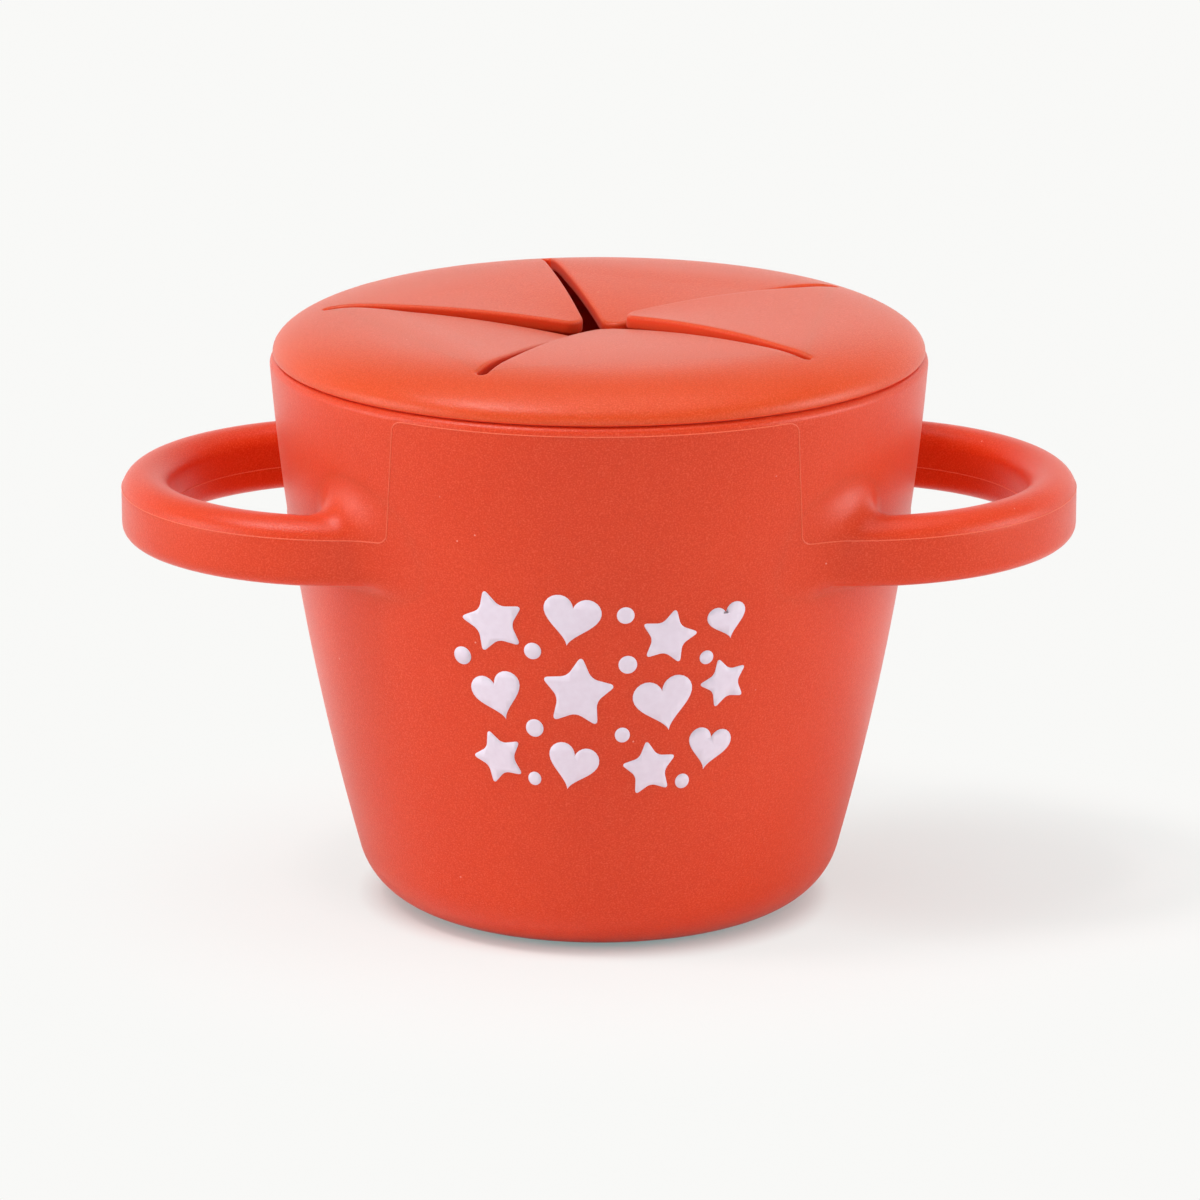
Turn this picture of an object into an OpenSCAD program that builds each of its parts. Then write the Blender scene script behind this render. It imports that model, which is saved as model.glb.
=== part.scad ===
// Toddler snack cup in moulded silicone: a tapered cup with two loop handles
// and a push-in lid whose five soft flaps let a small hand in and keep the snacks from spilling.
// Units are millimetres. +Z is up, the cup stands on Z = 0 and its axis is the Z axis.

/* [Cup] */
// Outside diameter at the rim
rim_d = 92; // [84:1:100]
// Height of the rim above the table
cup_h = 78.4; // [70:0.2:86]
// Diameter of the flat ring that the cup stands on
foot_d = 47.6; // [44:0.2:52]
// Radius of the rounded corner between base and wall
corner_r = 10.5; // [8:0.5:13]
// Lean of the wall where it leaves the rounded corner, in degrees
wall_lean = 15; // [12:0.5:17]
// Thickness of the cup wall
wall = 2.8; // [2.2:0.1:3.4]
// Thickness of the cup floor
floor_t = 3.4; // [3.4:0.1:5]
// Rounding of the rim's outer edge
rim_round = 1.2; // [0.8:0.1:1.4]
// Rounding of the rim's inner edge
mouth_round = 0.5; // [0.3:0.1:0.7]
// Diameter of the shallow recess under the base
recess_d = 38; // [30:1:40]
// Depth of the recess under the base
recess_depth = 0.8; // [0.5:0.1:1.2]

/* [Handles] */
// Overall width across both handles
handle_span = 133.8; // [128:0.2:142]
// Outside diameter of the loop that each handle follows
loop_d = 64.5; // [58:0.5:68]
// Thickness of the handle, measured in plan
handle_w = 6.8; // [6:0.2:8]
// Height of the handle's cross-section
handle_h = 9.4; // [8:0.2:11]
// Height of the rounded crown on the handle's cross-section
handle_crown = 3.1; // [2.4:0.1:3.6]
// Radius of the handle's lower edges
handle_edge_r = 2; // [1:0.1:2.6]
// Distance from the rim down to the middle of the handle
handle_drop = 21.2; // [16:0.2:28]
// Radius of the blend at the sides of a handle, where it flows into the wall
root_side_r = 4; // [3:0.5:5]
// Radius of the blend above a handle
root_top_r = 5.6; // [3:0.2:6]
// Radius of the blend below a handle
root_low_r = 1.6; // [1:0.2:4]

/* [Lid] */
// Outside diameter of the lid
lid_d = 91; // [84:0.2:91.4]
// Height above the rim at which the dished dome levels out
crest_h = 5.8; // [5:0.1:7]
// Radius at which the dished dome levels out
crest_r = 27.5; // [24:0.5:32]
// How far the lid's middle is dished below the crest
dish = 2.1; // [1:0.1:2.6]
// Width of the rounded shoulder round the lid
shoulder_w = 12; // [8:0.5:13]
// Gap between the lid's sharp lower edge and the rim
lid_lip = 0.35; // [0.2:0.05:0.6]
// Depth that the lid's skirt reaches into the cup
skirt_depth = 9; // [7:0.5:12]
// Thickness of the lid's skirt
skirt_t = 2.4; // [1.8:0.1:3]
// Clearance between the skirt and the inside of the cup
skirt_gap = 0.6; // [0.4:0.05:0.8]
// Clearance between the sealing ribs and the inside of the cup
rib_gap = 0.15; // [0.1:0.05:0.3]
// Height of one sealing rib along the skirt
rib_h = 1.4; // [1:0.1:1.8]
// Distance between sealing ribs
rib_pitch = 3; // [2.4:0.1:3.4]

/* [Flaps] */
// Number of flaps
flaps = 5; // [4:1:6]
// Thickness of a flap
flap_t = 1.9; // [1.5:0.1:2.4]
// Radius at which the slits end
slit_r = 38; // [34:0.2:38.4]
// Width of a slit at its outer end
slit_w_out = 1.4; // [1:0.1:1.8]
// Width that the slit would have at the lid's middle
slit_w_in = 2.8; // [1.8:0.1:3.2]
// Radius of a flap's rounded tip
tip_r = 2.4; // [1.4:0.1:3.4]
// Turn of the first slit round the lid, in degrees
slit_turn = 29.6; // [0:0.1:71]
// Radius of the rolled root that each flap bends about
hinge_r = 1.4; // [1.3:0.05:1.8]
// Clearance round a flap's root
hinge_gap = 0.15; // [0.1:0.05:0.25]
// Set that the flaps have taken, as the angle of each tip above the moulded dome, in degrees
flap_set = [-2.3, -1.2, -3.9, -0.4, 2.5]; // [-8:0.1:4]

/* [Hidden] */

cup_colour = [0.88, 0.33, 0.22];
lid_colour = [0.91, 0.37, 0.25];
round_fn = 96;    // facets that stand for a full circle in the preview
over = 1;         // how far a cutter runs past what it cuts
wall_steps = 12;  // rings along the cup wall
arc_steps = 8;    // steps round a rounded corner

rim_r = rim_d / 2;
foot_r = foot_d / 2;

// ---- Cup profile ----
// The wall leaves the rounded corner at wall_lean and bows in towards the vertical at the rim.
corner_top_r = foot_r + corner_r * cos(wall_lean);
corner_top_z = corner_r * (1 - sin(wall_lean));
wall_rise = cup_h - corner_top_z;
wall_bow = (corner_top_r + tan(wall_lean) * wall_rise - rim_r) / pow(wall_rise, 2);
function wall_r(z) = let (up = z - corner_top_z)
    corner_top_r + tan(wall_lean) * up - wall_bow * up * up;
function lean_at(z) = atan(tan(wall_lean) - 2 * wall_bow * (z - corner_top_z));
function inner_r(z) = wall_r(z) - wall / cos(lean_at(z));

function arc(centre, r, from, to, steps = arc_steps) =
    [for (i = [0:steps]) centre + r * [cos(from + (to - from) * i / steps),
                                       sin(from + (to - from) * i / steps)]];

outer_corner = arc([foot_r, corner_r], corner_r, -90, -wall_lean);
outer_top_z = cup_h - rim_round;
outer_wall = [for (i = [1:wall_steps])
    let (z = corner_top_z + (outer_top_z - corner_top_z) * i / wall_steps) [wall_r(z), z]];
rim_edge = arc([wall_r(outer_top_z) - rim_round, outer_top_z], rim_round, 0, 90);

inner_corner_r = corner_r - wall;
floor_angle = asin((corner_r - floor_t) / inner_corner_r);
inner_top_z = cup_h - mouth_round;
inner_low_z = corner_r - inner_corner_r * sin(wall_lean);
mouth_edge = arc([inner_r(inner_top_z) + mouth_round, inner_top_z], mouth_round, 90, 180);
inner_wall = [for (i = [1:wall_steps - 1])
    let (z = inner_top_z + (inner_low_z - inner_top_z) * i / wall_steps) [inner_r(z), z]];
inner_corner = arc([foot_r, corner_r], inner_corner_r, -wall_lean, -floor_angle);

module cup_envelope() {
    rotate_extrude($fn = round_fn)
        polygon(concat([[0, 0]], outer_corner, outer_wall,
                       [[wall_r(cup_h), cup_h], [0, cup_h]]));
}

module cup_shell() {
    color(cup_colour)
    difference() {
        rotate_extrude($fn = round_fn)
            polygon(concat([[0, 0]], outer_corner, outer_wall, rim_edge,
                           mouth_edge, inner_wall, inner_corner, [[0, floor_t]]));
        translate([0, 0, -over])
            cylinder(d = recess_d, h = recess_depth + over, $fn = round_fn);
    }
}

// ---- Handles ----
// A handle is one sweep: half a loop in plan, then straight on into the wall. Near the wall its
// outline swells by the blend radius, so that it flows into the cup as moulded silicone does.
handle_z = cup_h - handle_drop;
loop_r = loop_d / 2;
loop_mid_r = loop_r - handle_w / 2;
loop_x = handle_span / 2 - loop_r;
root_bite = 2;      // how far the sweep runs on inside the wall before it is cut off there
loop_steps = 15;    // rings along half of the loop
blend_turn = 75;    // the blend ends this far round, a little short of lying flat on the wall
blend_steps = 6;    // rings along the blend
crown_steps = 12;
edge_steps = 4;

// Cross-section as [outward in plan, height, normal outward, normal up]
function ellipse_pt(a, rx, rz, cx, cz) = let (n = [cos(a) / rx, sin(a) / rz], l = norm(n))
    [cx + rx * cos(a), cz + rz * sin(a), n[0] / l, n[1] / l];
crown_z = handle_h / 2 - handle_crown;
edge_x = handle_w / 2 - handle_edge_r;
edge_z = handle_edge_r - handle_h / 2;
handle_section = concat(
    [for (i = [0:crown_steps])
        ellipse_pt(180 * i / crown_steps, handle_w / 2, handle_crown, 0, crown_z)],
    [for (i = [0:edge_steps])
        ellipse_pt(180 + 90 * i / edge_steps, handle_edge_r, handle_edge_r, -edge_x, edge_z)],
    [for (i = [0:edge_steps])
        ellipse_pt(270 + 90 * i / edge_steps, handle_edge_r, handle_edge_r, edge_x, edge_z)]);

// Every line of the sweep runs round the loop, then straight on towards the wall. The rings near
// the wall keep the same distance to it all the way round, so the blend ends cleanly on the cup.
function wall_x(y, z) = sqrt(pow(wall_r(z), 2) - y * y);
function loop_point(x, out) = x > loop_x
    ? let (c = (x - loop_x) / (loop_mid_r + out)) [x, (loop_mid_r + out) * sqrt(1 - c * c)]
    : [x, loop_mid_r + out];
// The blend's radius for a part of the section whose normal points up by the given share
function root_r(up) = root_side_r + (up > 0 ? root_top_r - root_side_r : root_low_r - root_side_r) * up * up;
// A point of the blend: u runs from 0 at its start to 1 on the wall
function blend_point(q, u) =
    let (swell = root_r(q[3]) * (1 - cos(blend_turn * u)),
         gap = root_r(q[3]) * (sin(blend_turn) - sin(blend_turn * u)),
         out = q[0] + swell * q[2],
         z = handle_z + q[1] + swell * q[3],
         first = loop_point(wall_x(loop_mid_r + out, z) + gap, out),
         p = loop_point(wall_x(first[1], z) + gap, out))
    [p[0], p[1], z];
function arc_point(q, t) =
    let (r = loop_mid_r + q[0], start = blend_point(q, 0),
         a = t * acos((start[0] - loop_x) / r))
    [loop_x + r * cos(a), r * sin(a), handle_z + q[1]];
function sunk_point(q) = let (p = blend_point(q, 1)) [p[0] - root_bite, p[1], p[2]];

blend_us = [for (i = [0:blend_steps]) i / blend_steps];
half_rings = concat(
    [for (i = [1:loop_steps - 1]) [for (q = handle_section) arc_point(q, i / loop_steps)]],
    [for (u = blend_us) [for (q = handle_section) blend_point(q, u)]],
    [[for (q = handle_section) sunk_point(q)]]);
function mirrored(ring) = [for (p = ring) [p[0], -p[1], p[2]]];
handle_rings = concat(
    [for (i = [len(half_rings) - 1:-1:0]) mirrored(half_rings[i])],
    [[for (q = handle_section) arc_point(q, 0)]],
    half_rings);

module handle_loop() {
    n = len(handle_section);
    m = len(handle_rings);
    points = [for (ring = handle_rings) for (p = ring) p];
    sides = [for (i = [0:m - 2]) for (j = [0:n - 1]) let (k = (j + 1) % n)
        each [[i * n + j, (i + 1) * n + j, (i + 1) * n + k],
              [i * n + j, (i + 1) * n + k, i * n + k]]];
    ends = [[for (j = [0:n - 1]) j], [for (j = [n - 1:-1:0]) (m - 1) * n + j]];
    polyhedron(points, concat(sides, ends));
}

module handle(side) {
    color(cup_colour)
    mirror([side < 0 ? 1 : 0, 0, 0])
    difference() {
        handle_loop();
        cup_envelope();
    }
}

// ---- Lid ----
lid_r = lid_d / 2;
shoulder_r = lid_r - shoulder_w;
function dome(r) = crest_h - dish * pow((r - crest_r) / crest_r, 2);
shoulder_h = dome(lid_r) - lid_lip;
function shoulder_drop(r) = r <= shoulder_r ? 0
    : shoulder_h * (1 - sqrt(max(0, 1 - pow((r - shoulder_r) / shoulder_w, 2))));
function lid_top(r) = cup_h + dome(r) - shoulder_drop(r);

dome_steps = 10;
shoulder_steps = 12;
skirt_low_z = cup_h - skirt_depth;
function skirt_r(z) = inner_r(z) - skirt_gap;
skirt_inner_r = skirt_r(cup_h) - skirt_t;
flange_edge = 0.3;   // chamfer under the lid's lower edge
skirt_foot = 1;      // chamfer outside the skirt's lower edge
skirt_edge = 0.4;    // chamfer inside the skirt's lower edge
skirt_corner = 1;    // fillet, as a chamfer, between the skirt and the dome's underside

// The top surface from the middle out to the given radius
function dome_line(r, steps = dome_steps) = [for (i = [0:steps]) [r * i / steps, lid_top(r * i / steps)]];
shoulder_line = [for (i = [1:shoulder_steps])
    let (r = shoulder_r + shoulder_w * sin(90 * i / shoulder_steps)) [r, lid_top(r)]];
function lowered(line, by) = [for (p = line) [p[0], p[1] - by]];
function backwards(line) = [for (i = [len(line) - 1:-1:0]) line[i]];

// A sealing rib is a low half-round bead on the outside of the skirt
rib_stand = skirt_gap - rib_gap;
rib_steps = 6;
function rib(z) = [for (i = [0:rib_steps]) let (a = 90 - 180 * i / rib_steps, zz = z + rib_h / 2 * sin(a))
    [skirt_r(zz) + rib_stand * cos(a), zz]];

lid_profile = concat(
    dome_line(shoulder_r), shoulder_line,
    [[lid_r - flange_edge, cup_h], [skirt_r(cup_h), cup_h]],
    rib(cup_h - rib_pitch), rib(cup_h - 2 * rib_pitch),
    [[skirt_r(skirt_low_z + skirt_foot), skirt_low_z + skirt_foot],
     [skirt_r(skirt_low_z) - skirt_foot, skirt_low_z],
     [skirt_inner_r + skirt_edge, skirt_low_z],
     [skirt_inner_r, skirt_low_z + skirt_edge],
     [skirt_inner_r, lid_top(skirt_inner_r) - flap_t - skirt_corner],
     [skirt_inner_r - skirt_corner, lid_top(skirt_inner_r - skirt_corner) - flap_t]],
    backwards(lowered(dome_line(shoulder_r), flap_t)));

// ---- Flaps ----
// The slits run out from the middle, so the flaps are the sectors between them. Each one bends
// about the straight line between the ends of its two slits.
sector = 360 / flaps;
half_sector = sector / 2;
hinge_x = slit_r * cos(half_sector);
hinge_z = (lid_top(hinge_x) + lid_top(slit_r)) / 2 - flap_t / 2;

// One side of a flap, from a point beside the lid's middle to a point beside the slit's end
side_in = slit_w_in / 2 * [sin(half_sector), -cos(half_sector)];
side_out = slit_r * [cos(half_sector), sin(half_sector)]
    + slit_w_out / 2 * [sin(half_sector), -cos(half_sector)];
side_run = side_out - side_in;
side_angle = atan2(side_run[1], side_run[0]);
apex_x = side_in[0] - side_in[1] / tan(side_angle);
tip_x = apex_x + tip_r / sin(side_angle);
flap_root_y = (hinge_x - apex_x) * tan(side_angle);
tip_steps = 12;

function flap_angle(i) = slit_turn + sector * (i + 0.5);

module dome_shell() {
    reach = slit_r + hinge_r;
    rotate_extrude($fn = round_fn)
        polygon(concat(dome_line(reach), backwards(lowered(dome_line(reach), flap_t))));
}

module flap_outline() {
    tab = [hinge_x + hinge_r, flap_root_y - hinge_gap];
    root = [tab, [hinge_x, tab[1]], [hinge_x, flap_root_y]];
    tip = arc([tip_x, 0], tip_r, 90 + side_angle, 270 - side_angle, tip_steps);
    polygon(concat(root, tip, [for (i = [len(root) - 1:-1:0]) [root[i][0], -root[i][1]]]));
}

// A cylinder round the line that a flap bends about
module hinge_roll(r, half_l) {
    translate([hinge_x, 0, hinge_z])
        rotate([90, 0, 0])
            cylinder(r = r, h = 2 * half_l, center = true, $fn = round_fn);
}

module flap(i) {
    color(lid_colour)
    rotate([0, 0, flap_angle(i)])
    translate([hinge_x, 0, hinge_z])
    rotate([0, flap_set[i % len(flap_set)], 0])
    translate([-hinge_x, 0, -hinge_z])
    intersection() {
        dome_shell();
        translate([0, 0, cup_h - over])
            linear_extrude(crest_h + 2 * over)
                flap_outline();
        union() {
            cube([2 * hinge_x, 2 * lid_r, 2 * (cup_h + crest_h + over)], center = true);
            hinge_roll(hinge_r, flap_root_y - hinge_gap);
        }
    }
}

module lid_ring() {
    color(lid_colour)
    difference() {
        rotate_extrude($fn = round_fn)
            polygon(lid_profile);
        translate([0, 0, cup_h - over])
            linear_extrude(crest_h + 2 * over)
                polygon([for (i = [0:flaps - 1]) let (a = slit_turn + sector * i)
                    slit_r * [cos(a), sin(a)]]);
        for (i = [0:flaps - 1]) {
            rotate([0, 0, slit_turn + sector * i])
                translate([slit_r, 0, cup_h - over])
                    cylinder(d = slit_w_out, h = crest_h + 2 * over, $fn = round_fn);
            rotate([0, 0, flap_angle(i)])
                hinge_roll(hinge_r + hinge_gap, flap_root_y + hinge_gap);
        }
    }
}

cup_shell();
handle(-1);  // handle_left
handle(1);  // handle_right
lid_ring();
flap(0);  // flap_1
flap(1);  // flap_2
flap(2);  // flap_3
flap(3);  // flap_4
flap(4);  // flap_5
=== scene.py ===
from math import acos, asin, atan, atan2, cos, degrees, pi, radians, sin, sqrt, tan

import bmesh
import bpy
from mathutils import Matrix, Vector


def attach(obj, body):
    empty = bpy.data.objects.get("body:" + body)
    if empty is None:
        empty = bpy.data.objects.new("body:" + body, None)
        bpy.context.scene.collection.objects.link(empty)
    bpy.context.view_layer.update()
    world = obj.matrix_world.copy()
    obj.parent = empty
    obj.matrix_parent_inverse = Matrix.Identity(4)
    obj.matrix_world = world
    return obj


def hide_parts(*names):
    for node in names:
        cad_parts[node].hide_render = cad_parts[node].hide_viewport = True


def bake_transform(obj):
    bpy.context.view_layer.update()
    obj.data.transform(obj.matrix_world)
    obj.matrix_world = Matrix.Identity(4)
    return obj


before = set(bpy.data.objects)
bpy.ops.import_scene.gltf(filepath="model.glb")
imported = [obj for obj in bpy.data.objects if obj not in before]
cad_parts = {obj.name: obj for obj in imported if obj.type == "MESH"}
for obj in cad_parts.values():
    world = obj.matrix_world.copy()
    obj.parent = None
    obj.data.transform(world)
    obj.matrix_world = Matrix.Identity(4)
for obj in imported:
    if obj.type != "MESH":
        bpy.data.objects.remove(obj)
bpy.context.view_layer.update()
mm = 0.001
mergeWithin = 0.000004
smoothAngle = 35

# sizes that several pieces share, in millimetres
cupSizes = {
    "height": 78.4,
    "rimRadius": 46.0,
    "footRadius": 23.8,
    "cornerRadius": 10.5,
    "wallLean": 15,
    "wall": 2.8,
    "floor": 3.4,
    "rimRound": 1.2,
    "mouthRound": 0.5,
    "rimLean": 8,
    "recessRadius": 19.0,
    "recessDepth": 0.8,
    "recessSoft": 0.3,
    "insideFrom": 0.5,  # the painted glow of the inside comes in over these shares of the wall
    "insideTo": 0.9,
    "turns": 192,
    "wallSteps": 40,
    "cornerSteps": 18,
    "innerCornerSteps": 12,
    "rimSteps": 7,
    "mouthSteps": 5,
}
lidSizes = {
    "radius": 45.5,
    "crest": 5.8,
    "crestRadius": 27.5,
    "dish": 2.1,
    "shoulder": 12.0,
    "lip": 0.42,
    "edgeRound": 0.3,
    "thickness": 1.9,
    "skirtDepth": 9.0,
    "skirtThickness": 2.4,
    "skirtGap": 0.6,
    "skirtRound": 1.0,
    "skirtInnerRound": 0.5,
    "roundCut": 0.3,  # where the point between a rounding's ends lies, as shares of the rounding
    "innerRoundCut": 0.2,
    "skirtStraight": 4.0,
    "seatSoft": 0.2,
    "ribs": 2,
    "ribGap": 0.15,
    "ribHeight": 1.4,
    "ribPitch": 3.0,
    "ribSteps": 6,
    "evenFrom": 41.0,  # from here out the rings are plain circles
    "innerShares": (0.28, 0.5, 0.7, 0.86, 1),  # and these rings lead there from the flaps
    "underShares": (0.75, 0.5, 0.25, 0),  # below, they lead back to the flaps
    "shoulderSteps": 14,
    "lipSteps": 5,
}
flapSizes = {
    "count": 5,
    "slitEnd": 38.0,
    "slitOuter": 1.4,
    "slitInner": 2.8,
    "tipRadius": 2.4,
    "firstSlit": 29.6,
    "set": [-2.3, -1.2, -3.9, -0.4, 2.5],
    "edgeRound": 0.5,
    "lowEdgeRound": 0.3,
    "softRoot": 9.0,
    "columns": 30,
    "sideRows": 30,
    "tipRows": 9,
    "edgeSteps": 5,
    "endSteps": 8,
}


# the curves of the cup and the lid, as the frame has them
wallLean = radians(cupSizes["wallLean"])
cornerTopRadius = cupSizes["footRadius"] + cupSizes["cornerRadius"] * cos(wallLean)
cornerTopHeight = cupSizes["cornerRadius"] * (1 - sin(wallLean))
wallRise = cupSizes["height"] - cornerTopHeight
wallBow = (cornerTopRadius + tan(wallLean) * wallRise - cupSizes["rimRadius"]) / wallRise**2


def wallRadius(z):
    up = z - cornerTopHeight
    return cornerTopRadius + tan(wallLean) * up - wallBow * up * up


def innerRadius(z):
    lean = atan(tan(wallLean) - 2 * wallBow * (z - cornerTopHeight))
    return wallRadius(z) - cupSizes["wall"] / cos(lean)


def domeHeight(r):
    crestRadius = lidSizes["crestRadius"]
    return lidSizes["crest"] - lidSizes["dish"] * ((r - crestRadius) / crestRadius) ** 2


def lidTop(r):
    shoulderStart = lidSizes["radius"] - lidSizes["shoulder"]
    fall = max(0, min(1, (r - shoulderStart) / lidSizes["shoulder"]))
    shoulderHeight = domeHeight(lidSizes["radius"]) - lidSizes["lip"]
    return cupSizes["height"] + domeHeight(r) - shoulderHeight * (1 - sqrt(1 - fall * fall))


def arcPoints(centre, radius, start, end, steps):
    angles = [radians(start + (end - start) * i / steps) for i in range(steps + 1)]
    return [(centre[0] + radius * cos(a), centre[1] + radius * sin(a)) for a in angles]


# modelling helpers

def deselectAll():
    if bpy.context.object and bpy.context.object.mode != "OBJECT":
        bpy.ops.object.mode_set(mode="OBJECT")
    bpy.ops.object.select_all(action="DESELECT")


def onlySelect(piece):
    deselectAll()
    piece.select_set(True)
    bpy.context.view_layer.objects.active = piece


def nameLast(name):
    piece = bpy.context.object
    piece.name = name
    piece.data.name = name
    return piece


def finishMesh(piece):  # merge doubles, face outwards, shade smooth
    onlySelect(piece)
    bpy.ops.object.mode_set(mode="EDIT")
    bpy.ops.mesh.select_all(action="SELECT")
    bpy.ops.mesh.remove_doubles(threshold=mergeWithin)
    bpy.ops.mesh.delete_loose()
    bpy.ops.mesh.select_all(action="SELECT")
    bpy.ops.mesh.normals_make_consistent(inside=False)
    bpy.ops.object.mode_set(mode="OBJECT")
    bpy.ops.object.shade_smooth_by_angle(angle=radians(smoothAngle))


def spinProfile(name, profile, turns):  # an outline of (radius, height), spun round the Z axis
    deselectAll()
    bpy.ops.mesh.primitive_circle_add(vertices=len(profile), radius=mm)
    piece = nameLast(name)
    for vertex, (r, z) in zip(piece.data.vertices, profile):
        vertex.co = (r * mm, 0, z * mm)
    bpy.ops.object.mode_set(mode="EDIT")
    bpy.ops.mesh.select_all(action="SELECT")
    bpy.ops.mesh.spin(steps=turns, angle=2 * pi, center=(0, 0, 0), axis=(0, 0, 1))
    bpy.ops.object.mode_set(mode="OBJECT")
    finishMesh(piece)
    return piece


def placeSelected(piece, points):
    mesh = bmesh.from_edit_mesh(piece.data)
    for vertex, point in zip([v for v in mesh.verts if v.select], points):
        vertex.co = Vector(point) * mm
    bmesh.update_edit_mesh(piece.data)


def growRings(name, rings, startCap=True, endCap=True):
    # one ring is extruded on and on, and placed each time
    deselectAll()
    bpy.ops.mesh.primitive_circle_add(
        vertices=len(rings[0]), radius=mm, fill_type="NGON" if startCap else "NOTHING"
    )
    piece = nameLast(name)
    bpy.ops.object.mode_set(mode="EDIT")
    bpy.ops.mesh.select_all(action="SELECT")
    placeSelected(piece, rings[0])
    for ring in rings[1:]:
        bpy.ops.mesh.extrude_region_move()
        placeSelected(piece, ring)
    if startCap and not endCap:
        bpy.ops.mesh.delete(type="ONLY_FACE")
    bpy.ops.object.mode_set(mode="OBJECT")
    finishMesh(piece)
    return piece


def markInside(piece, share):  # how far inside each point lies, for the material to read
    inside = piece.data.attributes.new("inside", "FLOAT", "POINT")
    for vertex, value in zip(piece.data.vertices, inside.data):
        x, y, z = vertex.co / mm
        value.value = max(0, min(1, share(sqrt(x * x + y * y), z)))


def lidInside(r, z):
    return (lidTop(r) - z) / lidSizes["thickness"]


def cupInside(r, z):
    s = cupSizes
    if z > cornerTopHeight:
        depth = wallRadius(z) - r
    elif r > s["footRadius"]:
        depth = s["cornerRadius"] - sqrt((r - s["footRadius"]) ** 2 + (z - s["cornerRadius"]) ** 2)
    else:
        depth = z - s["recessDepth"]
    return (depth / s["wall"] - s["insideFrom"]) / (s["insideTo"] - s["insideFrom"])


# the cup

def cupProfile():
    s = cupSizes
    low = wallRadius(s["height"] - s["rimRound"])
    wallFrom = cornerTopHeight
    wallTo = s["height"] - s["rimRound"]
    steps = s["wallSteps"]
    outer = [wallFrom + (wallTo - wallFrom) * i / steps for i in range(1, steps + 1)]
    innerCorner = s["cornerRadius"] - s["wall"]
    floorAngle = asin((s["cornerRadius"] - s["floor"]) / innerCorner)
    innerFrom = s["height"] - s["mouthRound"]
    innerTo = s["cornerRadius"] - innerCorner * sin(wallLean)
    inner = [innerFrom + (innerTo - innerFrom) * i / steps for i in range(1, steps)]
    recess, depth, soft = s["recessRadius"], s["recessDepth"], s["recessSoft"]
    corner = (s["footRadius"], s["cornerRadius"])
    profile = [(0, depth), (recess / 2, depth), (recess - 2 * soft, depth)]
    profile += [(recess - soft / 2, depth - soft * 2 / 3), (recess, soft), (recess + soft, 0)]
    profile += arcPoints(corner, s["cornerRadius"], -90, -s["wallLean"], s["cornerSteps"])
    profile += [(wallRadius(z), z) for z in outer]
    profile += arcPoints((low - s["rimRound"], wallTo), s["rimRound"], s["rimLean"], 90, s["rimSteps"])
    mouth = innerRadius(innerFrom) + s["mouthRound"]
    profile += arcPoints((mouth, innerFrom), s["mouthRound"], 90, 180, s["mouthSteps"])
    profile += [(innerRadius(z), z) for z in inner]
    profile += arcPoints(corner, innerCorner, -s["wallLean"], -degrees(floorAngle), s["innerCornerSteps"])
    profile += [(s["footRadius"] / 2, s["floor"]), (0, s["floor"])]
    return profile


# the handles
handleSizes = {
    "span": 133.8,
    "loopRadius": 32.25,
    "width": 6.8,
    "height": 9.4,
    "crown": 3.1,
    "edge": 2.0,
    "drop": 21.2,
    "rootSide": 4.0,
    "rootTop": 5.6,
    "rootLow": 1.6,
    "rootBite": 1.5,  # how far the root reaches into the wall, and how much narrower it is there
    "rootNarrow": 0.97,
    "loopSteps": 44,
    "rootSteps": 10,
    "crownSteps": 24,
    "sideSteps": 4,
    "edgeSteps": 6,
}
handleHeight = cupSizes["height"] - handleSizes["drop"]
loopMiddle = handleSizes["loopRadius"] - handleSizes["width"] / 2
loopX = handleSizes["span"] / 2 - handleSizes["loopRadius"]
crownFrom = handleSizes["height"] / 2 - handleSizes["crown"]


def crownPoint(a):  # on the handle's crown, from 0 on its outside to pi on its inside
    half, crown = handleSizes["width"] / 2, handleSizes["crown"]
    normal = Vector((cos(a) / half, sin(a) / crown)).normalized()
    return half * cos(a), crownFrom + crown * sin(a), normal.x, normal.y


def handleSection():  # each point is (outwards, up) and the normal there
    s = handleSizes
    half, edge = s["width"] / 2, s["edge"]
    low = edge - s["height"] / 2
    points = [crownPoint(pi * i / s["crownSteps"]) for i in range(s["crownSteps"] + 1)]
    heights = [crownFrom + (low - crownFrom) * i / s["sideSteps"] for i in range(1, s["sideSteps"])]
    points += [(-half, z, -1, 0) for z in heights]
    for i in range(s["edgeSteps"] + 1):
        a = pi + pi / 2 * i / s["edgeSteps"]
        points.append((edge - half + edge * cos(a), low + edge * sin(a), cos(a), sin(a)))
    points.append((0, -s["height"] / 2, 0, -1))
    for i in range(s["edgeSteps"] + 1):
        a = pi * 1.5 + pi / 2 * i / s["edgeSteps"]
        points.append((half - edge + edge * cos(a), low + edge * sin(a), cos(a), sin(a)))
    return points + [(half, z, 1, 0) for z in reversed(heights)]


def wallX(y, z):
    return sqrt(wallRadius(z) ** 2 - y * y)


def loopPoint(x, out):
    if x <= loopX:
        return x, loopMiddle + out
    share = (x - loopX) / (loopMiddle + out)
    return x, (loopMiddle + out) * sqrt(1 - share * share)


def rootPoint(q, u):  # u runs from 0 at the start of the blend to 1 on the wall
    side = handleSizes["rootSide"]
    other = handleSizes["rootTop"] if q[3] > 0 else handleSizes["rootLow"]
    radius = side + (other - side) * q[3] ** 2
    swell = radius * (1 - cos(pi / 2 * u))
    gap = radius * (1 - sin(pi / 2 * u))
    out = q[0] + swell * q[2]
    z = handleHeight + q[1] + swell * q[3]
    first = loopPoint(wallX(loopMiddle + out, z) + gap, out)
    x, y = loopPoint(wallX(first[1], z) + gap, out)
    return x, y, z


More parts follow.
